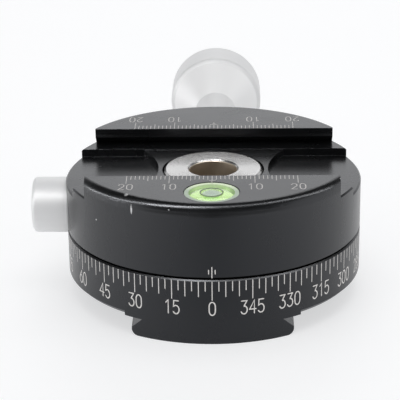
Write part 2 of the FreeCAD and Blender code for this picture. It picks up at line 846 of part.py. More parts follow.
make_dial_base()
make_pan_drum()
make_mount_insert()
make_pan_hub()
make_hub_lock_screw()
collar("slip_ring", slip_inner + size.running_gap, slip_outer - size.running_gap,
       slip_bottom, body_bottom)
collar("lower_thrust_washer", web_hole, size.drum_radius, drum_top, cavity_top)
collar("upper_thrust_washer", web_hole, size.hub_flange_radius - size.hub_pocket_gap,
       web_top + size.spring_height, flange_bottom)
make_disc_spring()
make_upper_body()
make_pan_bush()
make_level()
make_movable_jaw()
for side, hand in (("left", -1), ("right", 1)):
    make_guide_pin(side, hand)
    make_jaw_spring(side, hand)
make_clamp_screw()
make_clamp_washer()
make_clamp_knob()
make_knob_plug()
make_lock_knob()
make_lock_stud()
make_brake_shoe()

doc.recompute()
for item in doc.Objects:
    if "Invalid" in item.State or "Error" in item.State:
        raise RuntimeError(f"{item.Label} is {item.State}")
pieces = [item for item in doc.Objects if item.TypeId in ("PartDesign::Body", "Part::Feature")]
os.makedirs("parts", exist_ok=True)
for piece in pieces:
    if piece.Shape.isNull() or not piece.Shape.isValid() or not piece.Shape.Solids:
        raise RuntimeError(f"{piece.Label} has no valid solid")
for piece in pieces:
    piece.Shape.exportStep(f"parts/{piece.Label}.step")
    box = piece.Shape.BoundBox
    print(f"{piece.Label}: {piece.Shape.Volume:.1f} mm3, {len(piece.Shape.Solids)} solid, "
          f"z {box.ZMin:.2f} to {box.ZMax:.2f}")
print(f"{len(pieces)} pieces")
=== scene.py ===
# %% [markdown]
# # Dressing a panning clamp
# The CAD model gives every piece its true size and place. This lesson adds what the eye needs: the
# camera and the white table, black anodised aluminium that greys where it faces the light, turned
# steel, a round level with its lime spirit, and the engraved scales with their figures.
# Blender works in metres and the drawing in millimetres, so `MM` turns one into the other, and
# `corners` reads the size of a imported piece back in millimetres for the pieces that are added.

import math

import bmesh
import bpy
from mathutils import Matrix, Vector


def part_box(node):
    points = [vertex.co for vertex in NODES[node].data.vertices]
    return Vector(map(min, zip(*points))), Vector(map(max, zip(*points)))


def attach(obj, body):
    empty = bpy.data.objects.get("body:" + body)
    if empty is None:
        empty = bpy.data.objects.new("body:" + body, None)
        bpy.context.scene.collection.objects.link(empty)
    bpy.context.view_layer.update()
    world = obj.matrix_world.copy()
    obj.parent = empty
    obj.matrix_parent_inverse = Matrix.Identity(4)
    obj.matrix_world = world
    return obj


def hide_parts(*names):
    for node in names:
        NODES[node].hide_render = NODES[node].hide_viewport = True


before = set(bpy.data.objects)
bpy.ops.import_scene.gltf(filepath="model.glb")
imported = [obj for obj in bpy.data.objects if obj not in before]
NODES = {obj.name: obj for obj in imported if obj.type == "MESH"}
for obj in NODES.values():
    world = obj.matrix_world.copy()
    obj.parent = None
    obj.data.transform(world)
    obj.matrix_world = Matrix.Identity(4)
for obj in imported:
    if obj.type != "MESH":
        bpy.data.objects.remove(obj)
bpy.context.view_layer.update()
MM = 0.001


def corners(name):
    """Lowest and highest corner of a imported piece, in millimetres."""
    return [tuple(round(c / MM, 2) for c in corner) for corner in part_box(name)]


def axis_height(name):
    """Height of the level axis of a turned piece, in millimetres."""
    low, high = corners(name)
    return (low[2] + high[2]) / 2


BODY_HIGH = corners("upper_body")[1]
BODY_RADIUS, JAW_TOP = BODY_HIGH[0], BODY_HIGH[2]
print("pieces:", len(NODES), "body radius:", BODY_RADIUS, "jaw top:", JAW_TOP)


# %% [markdown]
# ## Shader sums as plain Python
# Most finishes are a few masks added and multiplied. Wiring Math nodes one at a time hides that,
# so a small class wraps a socket and lets an expression such as `1 - mask * 0.4` add its own nodes.

# %% A socket that can be added and multiplied
class Socket:
    """An output socket in a node tree; sums on it add Math nodes."""

    def __init__(self, nodes, output):
        self.nodes = nodes
        self.output = output

    def sum(self, operation, *values, clamp=False):
        settings = {"operation": operation, "use_clamp": clamp}
        return self.nodes.node("ShaderNodeMath", settings, dict(enumerate(values)))

    def __add__(self, other):
        return self.sum("ADD", self, other)

    def __sub__(self, other):
        return self.sum("SUBTRACT", self, other)

    def __rsub__(self, other):
        return self.sum("SUBTRACT", other, self)

    def __mul__(self, other):
        return self.sum("MULTIPLY", self, other)

    def __truediv__(self, other):
        return self.sum("DIVIDE", self, other)

    def __pow__(self, other):
        return self.sum("POWER", self, other)

    def __abs__(self):
        return self.sum("ABSOLUTE", self)

    __radd__ = __add__

    def above(self, edge, width):
        """0 below the edge, 1 above it, and a ramp of this width between."""
        return self.sum("ADD", (self - edge) / width, 0.5, clamp=True)

    def wave(self, length):
        """A sine that repeats after this length."""
        return self.sum("SINE", self * (2 * math.pi / length))


# %% [markdown]
# The surround and every material are node trees, so one method fills them all. It takes a node's
# type, its settings and its inputs, and an input is a number, a colour or another node's socket.

# %% A node tree filled by one method
class Nodes:
    """A node tree that starts with only its output."""

    def __init__(self, tree, output_kind):
        self.tree = tree
        self.tree.nodes.clear()
        self.out = self.tree.nodes.new(output_kind)

    def show(self, shader):
        """Make this shader the one that is seen."""
        self.tree.links.new(shader.output, self.out.inputs["Surface"])

    def node(self, kind, settings=None, inputs=None, output=0):
        made = self.tree.nodes.new(kind)
        for name, value in (settings or {}).items():
            setattr(made, name, value)
        for socket, value in (inputs or {}).items():
            target = made.inputs[socket]
            if isinstance(value, Socket):
                self.tree.links.new(value.output, target)
            else:
                target.default_value = value
        return Socket(self, made.outputs[output])

    def part(self, vector, axis):
        """One coordinate of a vector."""
        return self.node("ShaderNodeSeparateXYZ", inputs={0: vector}, output=axis)


# %% [markdown]
# Grain, smears and worn edges belong to a piece and have to turn with it. So each pattern is worked
# out from the piece's own coordinates or from its edges, and never from where the camera stands.

# %% Patterns fixed to a piece
SPOT_FADE = 0.6
BEVEL_SAMPLES = 6


class Patterns(Nodes):
    """Masks, colours and bumps in a material."""

    def place(self):
        """Position in metres, fixed to the piece."""
        return self.node("ShaderNodeTexCoord", output="Object")

    def scaled(self, vector, sizes):
        return self.node("ShaderNodeVectorMath", {"operation": "MULTIPLY"}, {0: vector, 1: sizes})

    def noise(self, scale, detail=3.0, rough=0.5, vector=None, stretch=None):
        """A cloud from 0 to 1 with this many cells a metre."""
        vector = vector or self.place()
        if stretch:
            vector = self.scaled(vector, stretch)
        inputs = {"Vector": vector, "Scale": scale, "Detail": detail, "Roughness": rough}
        return self.node("ShaderNodeTexNoise", {"normalize": True}, inputs)

    def spot(self, centre, radius, tall=1.0):
        """A mask that is 1 inside an egg round a point in millimetres, this much taller."""
        squash = (1.0, 1.0, 1 / tall)
        middle = [c * MM * q for c, q in zip(centre, squash)]
        far = self.node("ShaderNodeVectorMath", {"operation": "DISTANCE"},
                        {0: self.scaled(self.place(), squash), 1: middle}, output="Value")
        return 1 - far.above(radius * MM, radius * MM * SPOT_FADE)

    def mix(self, mask, low, high):
        """The low colour where the mask is 0, the high one where it is 1."""
        inputs = {0: mask, 6: low, 7: high}
        return self.node("ShaderNodeMix", {"data_type": "RGBA"}, inputs, output=2)

    def bump(self, height, distance, strength=1.0, normal=None):
        inputs = {"Height": height, "Distance": distance, "Strength": strength}
        if normal:
            inputs["Normal"] = normal
        return self.node("ShaderNodeBump", None, inputs)

    def rounded(self, radius):
        """A normal that rounds every edge of the piece by this radius."""
        return self.node("ShaderNodeBevel", {"samples": BEVEL_SAMPLES}, {"Radius": radius})

    def edges(self, radius):
        """A mask that rises along sharp edges, from how far rounding tips the normal."""
        flat = self.node("ShaderNodeNewGeometry", output="Normal")
        turned = self.node("ShaderNodeVectorMath", {"operation": "DOT_PRODUCT"},
                           {0: flat, 1: self.rounded(radius)}, output="Value")
        return 1 - turned


# %% [markdown]
# One Principled shader carries each finish. Its fixed settings are given by name, what varies is
# fed from patterns, and `paint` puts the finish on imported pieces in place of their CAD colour.

# %% A finish
class Finish(Patterns):
    """A material built on one Principled shader."""

    def __init__(self, name, **constants):
        self.material = bpy.data.materials.new(name)
        self.material.use_nodes = True
        super().__init__(self.material.node_tree, "ShaderNodeOutputMaterial")
        self.shader = self.tree.nodes.new("ShaderNodeBsdfPrincipled")
        self.skin = Socket(self, self.shader.outputs[0])
        self.show(self.skin)
        for socket, value in constants.items():
            self.shader.inputs[socket.replace("_", " ")].default_value = value

    def feed(self, socket, value):
        self.tree.links.new(value.output, self.shader.inputs[socket])

    def paint(self, *names):
        """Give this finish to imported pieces."""
        for name in names:
            NODES[name].data.materials.clear()
            NODES[name].data.materials.append(self.material)
        print(self.material.name, "on", ", ".join(names))


def grey(value, warmth=0.0):
    """A near neutral colour; warmth above 0 leans to yellow, below 0 to blue."""
    return (value * (1 + warmth), value, value * (1 - warmth), 1.0)


# %% [markdown]
# ## Camera
# The photograph was taken from a little above, through a long lens, so upright edges stay nearly
# parallel. The camera's place came from fitting the object's own round body and scales. It is
# built from its three axes, because a turn about the lens and one about the pan axis then stay
# apart.

# %% Camera
# the photograph's focal length and width, in its own pixels
FOCAL_PIXELS, PHOTO_PIXELS = 1720, 400
SENSOR = 36.0
ELEVATION = math.radians(21.391)
DISTANCE = 423.664 * MM
ROLL = math.radians(-0.753)
YAW = math.radians(-1.34)
AIM = Vector((-3.328, 0, 21.782)) * MM
NEAREST_SEEN = 0.01


def make_camera():
    """A long lens at the photograph's height, turned a little about the pan axis."""
    ahead = Vector((0, math.cos(ELEVATION), -math.sin(ELEVATION)))
    right = Vector((1, 0, 0))
    up = right.cross(ahead)
    across = right * math.cos(ROLL) + up * math.sin(ROLL)
    upward = up * math.cos(ROLL) - right * math.sin(ROLL)
    turn = Matrix.Rotation(-YAW, 3, "Z")
    axes = Matrix((turn @ across, turn @ upward, turn @ -ahead)).transposed()
    camera = bpy.data.objects.new("Camera", bpy.data.cameras.new("Camera"))
    camera.matrix_world = Matrix.Translation(turn @ (AIM - ahead * DISTANCE)) @ axes.to_4x4()
    camera.data.lens = SENSOR * (FOCAL_PIXELS / PHOTO_PIXELS)
    camera.data.sensor_width = SENSOR
    camera.data.clip_start = NEAREST_SEEN
    bpy.context.scene.collection.objects.link(camera)
    bpy.context.scene.camera = camera
    return camera


camera = make_camera()
print("camera at", [round(c / MM, 1) for c in camera.location], "mm, lens", camera.data.lens)

# %% [markdown]
# ## White surround
# The camera sees white all the way round. Metal and glass see a studio with a bright sweep: white
# near the horizon, dark overhead, sooner at the sides, and dark behind the camera. That contrast
# draws a dark band along a rounded black edge. A flat white world would leave every edge grey.

# %% World
SURROUND = (0.93, 0.94, 0.96, 1)
STUDIO_DARK = 0.05
DIFFUSE_LIGHT = 0.5
# the dark fades in between two heights, and lower down at the sides
SIDES_RISE = 0.3
OVERHEAD_RAMP = (0.42, 0.72)
BEHIND_RAMP = (-0.35, -0.75)


def make_world():
    """White to the camera, a bright horizon in reflections, quieter as a lamp."""
    world = bpy.data.worlds.new("Studio")
    world.use_nodes = True
    sky = Nodes(world.node_tree, "ShaderNodeOutputWorld")

    def light(strength):
        return sky.node("ShaderNodeBackground", None, {"Color": SURROUND, "Strength": strength})

    def blend(factor, low, high):
        return sky.node("ShaderNodeMixShader", None, {0: factor, 1: low, 2: high})

    def ramp(source, start, end):
        return sky.node("ShaderNodeMapRange", {"interpolation_type": "SMOOTHSTEP"},
                        {"Value": source, "From Min": start, "From Max": end})

    def ray(kind):
        return sky.node("ShaderNodeLightPath", output=kind)

    direction = sky.node("ShaderNodeTexCoord", output="Generated")
    height = sky.part(direction, "Z") + abs(sky.part(direction, "X")) * SIDES_RISE
    studio = blend(ramp(height, *OVERHEAD_RAMP), light(1.0), light(STUDIO_DARK))
    behind = ramp(sky.part(direction, "Y"), *BEHIND_RAMP)
    studio = blend(behind, studio, light(STUDIO_DARK))
    shader = blend(ray("Is Glossy Ray"), light(DIFFUSE_LIGHT), studio)
    shader = blend(ray("Is Transmission Ray"), shader, light(1.0))
    sky.show(blend(ray("Is Camera Ray"), shader, light(1.0)))
    bpy.context.scene.world = world


make_world()
bpy.context.scene.view_settings.view_transform = "Standard"
print("white surround, view transform Standard")

# %% [markdown]
# ## White table
# The table glows as a white sheet does under a bright sweep, and its grey share still takes a soft
# shadow. Black walls mirror the table. In those reflections the part in front of the body is dim,
# and nearly black farther out. That keeps the front of the body darkest, while the camera still
# sees an even white sheet.

# %% Table
TABLE_REACH = 3.0
TABLE_GLOW = 0.6
TABLE_TINT = (0.985, 0.99, 1.0)
TABLE_GREY, FAR_FRONT_GREY = 0.46, 0.04
FRONT_GLOW, FAR_FRONT_GLOW = (0.14, 0.15, 0.175, 1), 0.03
# where each fade has its middle, and how wide it is
DIM_SIDES = (0.06, 0.11)
DIM_BACK = (-0.02, 0.09)
DIM_FAR = (-0.165, 0.08)


def table_finish():
    """White to the camera, dim in front of the body in reflections."""
    finish = Finish("table white", Roughness=0.7, Emission_Strength=1.0)
    mirrored = finish.node("ShaderNodeLightPath", output="Is Glossy Ray")
    place = finish.place()
    x, y = finish.part(place, "X"), finish.part(place, "Y")
    dim = (1 - abs(x).above(*DIM_SIDES)) * (1 - y.above(*DIM_BACK)) * mirrored
    far_front = dim * (1 - y.above(*DIM_FAR))
    white = (*(TABLE_GLOW * share for share in TABLE_TINT), 1)
    front = finish.mix(far_front, FRONT_GLOW, grey(FAR_FRONT_GLOW))
    finish.feed("Emission Color", finish.mix(dim, white, front))
    finish.feed("Base Color", finish.mix(far_front, grey(TABLE_GREY), grey(FAR_FRONT_GREY)))
    return finish


def make_table():
    """A broad sheet under the foot."""
    mesh = bpy.data.meshes.new("Table")
    square = ((-1, -1), (1, -1), (1, 1), (-1, 1))
    mesh.from_pydata([(TABLE_REACH * x, TABLE_REACH * y, 0) for x, y in square],
                     [], [(0, 1, 2, 3)])
    table = bpy.data.objects.new("Table", mesh)
    bpy.context.scene.collection.objects.link(table)
    mesh.materials.append(table_finish().material)
    return table


table = make_table()
print("table", table.dimensions.x, "m across")


# %% [markdown]
# ## Lamps
# Two soft lamps light the object, one overhead and one behind. A card behind it and a long tube in
# front only show in reflections. The card brightens the tops. The tube is bent from five stretches
# and hangs slantwise, low to the left, where the rounded rim of the near jaw mirrors it as a thin
# bright line. Its thickness and brightness follow how that line swells and fades.

# %% Lamps
TARGET = Vector((0, 0, 0.025))
TUBE_DISTANCE = 0.55
TUBE_POINTS = [Vector(point) for point in (
    (-1.0, 0.2, 0.06), (-0.72, -0.232, 0.16), (-0.4, -0.351, 0.377), (-0.019, -0.262, 0.482),
    (0.19, -0.214, 0.526), (1.144, 0.007, 0.727))]
# name, thickness at the tube's usual distance, brightness
TUBE_STRETCHES = (("TubeEnd", 0.04, 14.0), ("TubeLeft", 0.05, 15.0), ("TubeMiddle", 0.1, 19.0),
                  ("TubeGap", 0.07, 6.0), ("TubeRight", 0.06, 9.0))


def make_lamp(name, place, width, height, radiance, along=None, lights=True, mirrored=True):
    """A soft square lamp that faces the object, with its width laid along a direction."""
    data = bpy.data.lights.new(name, "AREA")
    data.shape = "RECTANGLE"
    data.size, data.size_y = width, height
    data.energy = radiance * math.pi * width * height
    lamp = bpy.data.objects.new(name, data)
    back = (Vector(place) - TARGET).normalized()
    across = Vector(along or (1, 0, 0))
    across = (across - back * across.dot(back)).normalized()
    axes = Matrix((across, back.cross(across), back)).transposed()
    lamp.matrix_world = Matrix.Translation(place) @ axes.to_4x4()
    lamp.visible_camera = False
    lamp.visible_diffuse = lights
    lamp.visible_glossy = mirrored
    bpy.context.scene.collection.objects.link(lamp)


make_lamp("OverheadLamp", (0.05, 0.0, 0.85), width=0.7, height=0.6, radiance=1.6, mirrored=False)
make_lamp("RearLamp", (0.03, 0.62, 0.62), width=0.4, height=0.2, radiance=2.4)
make_lamp("SweepCard", (0.0, 1.3, 0.52), width=1.8, height=0.5, radiance=0.35, lights=False)
for (name, thick, radiance), start, end in zip(TUBE_STRETCHES, TUBE_POINTS, TUBE_POINTS[1:]):
    middle = (start + end) / 2
    make_lamp(name, middle + TARGET, (end - start).length,
              thick * middle.length / TUBE_DISTANCE, radiance, end - start, lights=False)


# %% [markdown]
# ## Black anodised aluminium
# The real parts are machined, blasted to a fine matt and anodised black. The dye is nearly black,
# but the clear oxide over it mirrors the room at a low angle, so tops turn grey and walls stay
# dark. A plain dielectric shader does that by itself. Blasting is a fine bump, handling leaves
# slightly smoother and rougher patches, the sharp edges are painted a little lighter, partly as
# rubbing and partly as a painted highlight along them, and a few small chips show bare metal. In
# the photograph the jaw's rounded rim runs out softly down the wall, which a slow bump under the
# rim copies without a change of outline.

# %% Anodised finish
SKIN_TONE, SKIN_ROUGH, OXIDE_BEND = 0.003, 0.27, 1.6
# noise cells a metre
BLAST, SMEARS, PATCHES, WEAR, SPECKS, RAGGED = 9000, 45, 60, 700, 1500, 2500
BLAST_DEPTH = 0.0000015
RUB_AND_GLINT_EDGE, SOFT_EDGE = 0.22 * MM, 0.14 * MM
RUB_AND_GLINT_GAIN = 5
# how strongly wear, the painted edge highlight and specks show, and how light they are
WORN_SHARE, RUB_AND_GLINT_SHARE, WORN_AND_GLINT_GREY = 0.2, 0.05, 0.25
SPECK_SHARE, SPECK_GREY = 0.25, 0.2
BARE_GREY = 0.75
ROLL_LOW, ROLL_HIGH, ROLL_DEPTH = JAW_TOP - 3.2, JAW_TOP - 1.3, 0.26


def chipped(finish, chips):
    """A ragged mask where the skin is knocked off."""
    bare = finish.spot(*chips[0])
    for chip in chips[1:]:
        bare = bare.sum("MAXIMUM", bare, finish.spot(*chip))
    return bare * finish.noise(RAGGED, detail=2.0).above(0.38, 0.2)


def rolled_rim(finish, soft):
    """A bump that carries the rim's rounding on down the wall."""
    height = finish.part(finish.place(), "Z")
    rise = height.above((ROLL_LOW + ROLL_HIGH) / 2 * MM, (ROLL_HIGH - ROLL_LOW) * MM)
    roll = (1 - rise * rise * (3 - rise * 2)) * (ROLL_DEPTH * MM)
    return finish.bump(roll, 1.0, 1.0, soft)


def anodised(name, chips=(), rolled=False):
    """A black skin over blasted aluminium."""
    finish = Finish(name, IOR=OXIDE_BEND, Specular_Tint=(0.93, 0.95, 1.0, 1.0))
    patches = finish.noise(PATCHES, detail=4.0, rough=0.55)
    smears = finish.noise(SMEARS, detail=5.0, rough=0.6, stretch=(1.0, 2.2, 0.6))
    # Sharp edges are painted lighter: partly rubbed wear, partly a painted highlight along them.
    tipped = finish.edges(RUB_AND_GLINT_EDGE) * RUB_AND_GLINT_GAIN
    rub_and_glint = tipped.sum("MINIMUM", tipped, 1.0)
    worn = rub_and_glint * finish.noise(WEAR, detail=3.0).above(0.6, 0.2)
    colour = finish.mix(patches, grey(SKIN_TONE * 0.8, -0.06), grey(SKIN_TONE * 1.3, -0.08))
    colour = finish.mix(worn * WORN_SHARE + rub_and_glint * RUB_AND_GLINT_SHARE, colour, grey(WORN_AND_GLINT_GREY))
    speck = finish.noise(SPECKS, detail=1.0).above(0.84, 0.02)
    colour = finish.mix(speck * SPECK_SHARE, colour, grey(SPECK_GREY))
    if chips:
        colour = finish.mix(chipped(finish, chips), colour, grey(BARE_GREY))
    finish.feed("Base Color", colour)
    finish.feed("Roughness",
                SKIN_ROUGH - 0.04 + patches * 0.05 + smears.above(0.56, 0.3) * 0.05)
    soft = finish.rounded(SOFT_EDGE)
    if rolled:
        soft = rolled_rim(finish, soft)
    blast = finish.noise(BLAST, detail=2.0, rough=0.6)
    finish.feed("Normal", finish.bump(blast, BLAST_DEPTH, 0.4, soft))
    return finish


# %% [markdown]
# The chips are placed one by one, as a worn clamp has them: a few on the wall under the rim and a
# few on the top edge. Each is a point in millimetres with a radius and, for a scratch, how much
# taller than wide it is.

# %% Black pieces
def on_wall(x, z):
    """A place on the round wall, right of the front by x."""
    return x, -math.sqrt(BODY_RADIUS ** 2 - x * x), z


CLAMP_CHIPS = (
    (on_wall(-18.3, 31.7), 0.22, 5.0), ((-19.4, -28.6, 34.0), 0.55), (on_wall(-27.0, 26.3), 0.18),
    ((-10.4, -33.5, 33.4), 0.4), ((30.0, -18.4, 33.9), 0.35), (on_wall(-9.6, 33.0), 0.16),
)
anodised("black anodised clamp", chips=CLAMP_CHIPS, rolled=True).paint("upper_body")
anodised("black anodised jaw", rolled=True).paint("movable_jaw")
anodised("black anodised").paint("dial_base")


# %% [markdown]
# ## Silver, steel and bronze
# The knobs are aluminium with a smooth satin skin, which scatters most light as paint does, so only
# a small share of the shader is metal. The clamp knob's neck flares in a cone, and a mask along its
# axis paints that cone lighter, a painted highlight for the light it catches from above. Steel and
# bronze are full metals.

# %% Satin metal
SATIN_GRAIN, SATIN_DEPTH = 5000, 0.0000015
METAL_EDGE = 0.12 * MM
CONE_FROM, CONE_TO, CONE_FADE, CONE_HIGHLIGHT_GREY = 55.1 * MM, 63.4 * MM, 0.4 * MM, 0.94


def satin_metal(name, tone, rough, warmth=0.0, metallic=1.0, cone=False):
    """A fine satin skin, clouded a little in tone and in roughness."""
    finish = Finish(name, Metallic=metallic)
    cloud = finish.noise(70, detail=4.0)
    colour = finish.mix(cloud, grey(tone * 0.95, warmth), grey(min(tone * 1.03, 1.0), warmth))
    # The cone is painted lighter: a painted highlight.
    if cone:
        along = finish.part(finish.place(), "Y")
        cone_highlight = along.above(CONE_FROM, CONE_FADE) * (1 - along.above(CONE_TO, CONE_FADE))
        colour = finish.mix(cone_highlight, colour, grey(CONE_HIGHLIGHT_GREY, 0.002))
    finish.feed("Base Color", colour)
    finish.feed("Roughness", rough - 0.03 + finish.noise(120, detail=4.0) * 0.06)
    grain = finish.noise(SATIN_GRAIN, detail=2.0)
    finish.feed("Normal", finish.bump(grain, SATIN_DEPTH, 0.6, finish.rounded(METAL_EDGE)))
    return finish


silver = satin_metal("satin silver", 0.81, 0.55, metallic=0.25, cone=True)
silver.paint("clamp_knob", "knob_plug")
lock_silver = satin_metal("lock knob silver", 0.88, 0.5, metallic=0.12)
lock_silver.paint("pan_lock_knob")
plain_steel = satin_metal("plain steel", 0.55, 0.32, 0.01)
plain_steel.paint("pan_drum", "hub_lock_screw", "disc_spring", "guide_pin_left",
                  "guide_pin_right", "jaw_spring_left", "jaw_spring_right")
satin_metal("bearing bronze", 0.5, 0.35, 0.25).paint("brake_shoe", "pan_bush", "clamp_washer")


# %% [markdown]
# The hub is steel faced on a lathe, so its flat ring carries fine circles that gather the light
# into rays. A wave of the distance from the pan axis makes them, a little uneven as the tool leaves
# them. The bore was drilled and stays browner and rougher.

# %% Faced steel
HUB_BORE, BORE_FADE = 5.75, 0.12
FACED_TONE, FACED_ROUGH = 0.62, 0.24
FACING_PITCH, FACING_DEPTH, FACING_WANDER = 0.14 * MM, 0.004 * MM, 0.02 * MM
STAIN_DARK, STAIN_LIGHT = (0.42, 0.35, 0.27, 1), (0.68, 0.6, 0.5, 1)


def faced_steel(name):
    """Lathe circles on the flats about the upright axis, and a browner drilled bore."""
    finish = Finish(name, Metallic=1.0)
    place = finish.place()
    x, y = finish.part(place, "X"), finish.part(place, "Y")
    radius = (x * x + y * y) ** 0.5
    across = finish.node("ShaderNodeCombineXYZ", None, {0: radius, 1: 0.0, 2: 0.0})
    coarse = finish.noise(3500, detail=3.0, rough=0.7, vector=across)
    rings = (radius + finish.noise(300, detail=2.0) * FACING_WANDER).wave(FACING_PITCH)
    bore = 1 - radius.above((HUB_BORE + BORE_FADE) * MM, BORE_FADE * MM)
    ring_tone = finish.mix(coarse, grey(FACED_TONE * 0.9, 0.012), grey(FACED_TONE, 0.012))
    stain = finish.mix(finish.noise(350, detail=4.0), STAIN_DARK, STAIN_LIGHT)
    finish.feed("Base Color", finish.mix(bore, ring_tone, stain))
    finish.feed("Roughness", FACED_ROUGH - 0.03 + coarse * 0.08 + bore * 0.16)
    grooves = (rings + coarse * 0.2) * (1 - bore)
    finish.feed("Normal", finish.bump(grooves, FACING_DEPTH, 1.0, finish.rounded(METAL_EDGE)))
    return finish


faced_steel("faced steel").paint("pan_hub", "mount_insert")


# %% [markdown]
# Both screws lie level, and little of them shows, so their thread needs no geometry. The way along
# the axis plus the angle about it gives a phase that climbs one pitch a turn, and its sine is the
# bump and also darkens the colour along the thread's grooves.

# %% Threaded steel
SCREW_PITCH = 1.0
THREAD_BUMP = 0.25 * MM


def threaded_steel(name, along, axis_z):
    """Steel with a thread about a level axis at this height in millimetres."""
    finish = Finish(name, Metallic=1.0)
    place = finish.place()
    way, side = finish.part(place, along), finish.part(place, "X" if along == "Y" else "Y")
    up = finish.part(place, "Z") - axis_z * MM
    turn = up.sum("ARCTAN2", up, side) / (2 * math.pi)
    thread = (way / (SCREW_PITCH * MM) + turn).wave(1.0)
    grain = finish.noise(900, detail=3.0)
    tone = finish.mix(grain, grey(0.48, 0.01), grey(0.6, 0.01))
    finish.feed("Base Color", finish.mix(thread * 0.5 + 0.5, grey(0.2), tone))
    finish.feed("Roughness", 0.28 + grain * 0.1)
    finish.feed("Normal", finish.bump(thread, THREAD_BUMP, 0.8))
    return finish


threaded_steel("clamp screw thread", "Y", axis_height("clamp_screw")).paint("clamp_screw")
threaded_steel("lock stud thread", "X", axis_height("pan_lock_stud")).paint("pan_lock_stud")

# %% [markdown]
# The slip ring and the thrust washers are turned from a pale plastic. Only thin edges of them show,
# so a slightly clouded matt tone is enough.

# %% Plastic washers
washer = Finish("pale plastic", Roughness=0.4)
washer.feed("Base Color", washer.mix(washer.noise(300), grey(0.5, 0.04), grey(0.58, 0.05)))
washer.paint("slip_ring", "lower_thrust_washer", "upper_thrust_washer")


# %% [markdown]
# ## Turned extras
# A turned piece is a profile swept about an axis, so its mesh is one ring of points for each point
# of the profile, and one point where the profile meets the axis. Every added mesh then becomes a
# piece in the same way: it gets a finish and rides on the body that carries it.

# %% Pieces from mesh code
AROUND = 64


def add_piece(name, shape, body, finish, replaces=()):
    """Turn a bmesh into a piece that rides on a body."""
    bmesh.ops.recalc_face_normals(shape, faces=shape.faces)
    mesh = bpy.data.meshes.new(name)
    shape.to_mesh(mesh)
    shape.free()
    mesh.materials.append(finish.material)
    piece = bpy.data.objects.new(name, mesh)
    bpy.context.scene.collection.objects.link(piece)
    if replaces:
        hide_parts(*replaces)
    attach(piece, body)
    print(name, "faces:", len(mesh.polygons))


def turned_piece(name, body, profile, finish, place, replaces=()):
    """A piece turned from (radius, height) points; `place` takes it to its axis."""
    shape = bmesh.new()
    rings = []
    for radius, height in profile:
        angles = [2 * math.pi * k / AROUND for k in range(AROUND if radius else 1)]
        rings.append([shape.verts.new(
            place(radius * math.cos(a), radius * math.sin(a), height) * MM) for a in angles])
    for low, high in zip(rings, rings[1:]):
        for k in range(AROUND):
            n = (k + 1) % AROUND
            corner = [low[k % len(low)], low[n % len(low)], high[n % len(high)],
                      high[k % len(high)]]
            shape.faces.new(list(dict.fromkeys(corner)))
    for face in shape.faces:
        face.smooth = True
    add_piece(name, shape, body, finish, replaces)


# %% [markdown]
# A collar fills the curved gap between the pan lock knob and the round wall. The knob's inner end
# is rounded, so the collar has a lip that hugs that rounding from inside: part of a circle, worked
# out by its angles.

# %% Collar behind the pan lock knob
LOCK_AXIS_Z = axis_height("pan_lock_stud")
LOCK_INNER = -corners("pan_lock_knob")[1][0]
COLLAR_RADIUS = corners("pan_lock_knob")[1][2] - LOCK_AXIS_Z
COLLAR_BORE, COLLAR_START = 3.2, 35.0
LIP_ROUND, LIP_CENTRE = 1.0, LOCK_INNER + 0.96
LIP_ANGLES = (0.0, 0.3, 0.6, 0.9, 1.1)
COLLAR_LIP = [(COLLAR_RADIUS - LIP_ROUND + LIP_ROUND * math.sin(t),
               LIP_CENTRE - LIP_ROUND * math.cos(t)) for t in LIP_ANGLES]
COLLAR_SIDE = COLLAR_RADIUS - 0.03


def lock_axis(x, y, out):
    """A point about the pan lock's level axis, outwards to the left."""
    return Vector((-out, x, LOCK_AXIS_Z + y))


turned_piece("pan_lock_collar", "clamp", [
    (COLLAR_BORE, COLLAR_LIP[0][1]), *COLLAR_LIP, (COLLAR_SIDE, COLLAR_LIP[-1][1]),
    (COLLAR_SIDE, COLLAR_START), (COLLAR_BORE, COLLAR_START)], lock_silver, lock_axis)


# %% [markdown]
# The bush in the foot takes a tripod's 3/8 inch screw of 16 turns an inch. From below its thread
# is plain to see, so it is one real ridge that climbs a helix: four points across, moved up a
# little at each step of the turn.

# %% Tripod thread
TRIPOD_BORE, TRIPOD_CREST = 4.75, 4.0
TRIPOD_PITCH = 25.4 / 16
TRIPOD_LOW, TRIPOD_HIGH = 1.75, 8.8
STEPS_A_TURN = 40
RIDGE_FOOT, RIDGE_CREST = 0.42 * TRIPOD_PITCH, 0.06 * TRIPOD_PITCH


def tripod_thread(name, body, finish):
    """One ridge that winds up the inside of the bore."""
    shape = bmesh.new()
    turns = (TRIPOD_HIGH - TRIPOD_LOW) / TRIPOD_PITCH
    count = int(turns * STEPS_A_TURN)
    section = ((TRIPOD_BORE, -RIDGE_FOOT), (TRIPOD_CREST, -RIDGE_CREST),
               (TRIPOD_CREST, RIDGE_CREST), (TRIPOD_BORE, RIDGE_FOOT))
    rows = []
    for k in range(count + 1):
        angle = 2 * math.pi * turns * k / count
        height = TRIPOD_LOW + (TRIPOD_HIGH - TRIPOD_LOW) * k / count
        rows.append([shape.verts.new(
            Vector((r * math.cos(angle), r * math.sin(angle), height + z)) * MM)
            for r, z in section])
    for lower, upper in zip(rows, rows[1:]):
        for k in range(len(section) - 1):
            shape.faces.new((lower[k], lower[k + 1], upper[k + 1], upper[k]))
    add_piece(name, shape, body, finish)


tripod_thread("tripod_thread", "base", plain_steel)

# %% [markdown]
# ## Engraved scales
# Marks and figures are cut into the black skin with a round cutter and show pale metal or paint.
# A figure is a list of strokes, as an engraving machine follows, on a grid 4 wide and 6 high. That
# needs no font file, and round stretches are parts of an ellipse.

# %% Stroke figures
GRID_WIDE, GRID_HIGH = 4, 6


def bow(cx, cy, rx, ry, start, end, steps=10):
    """Points on part of an ellipse, angles in degrees."""
    angles = [math.radians(start + (end - start) * i / steps) for i in range(steps + 1)]
    return [(cx + rx * math.cos(a), cy + ry * math.sin(a)) for a in angles]


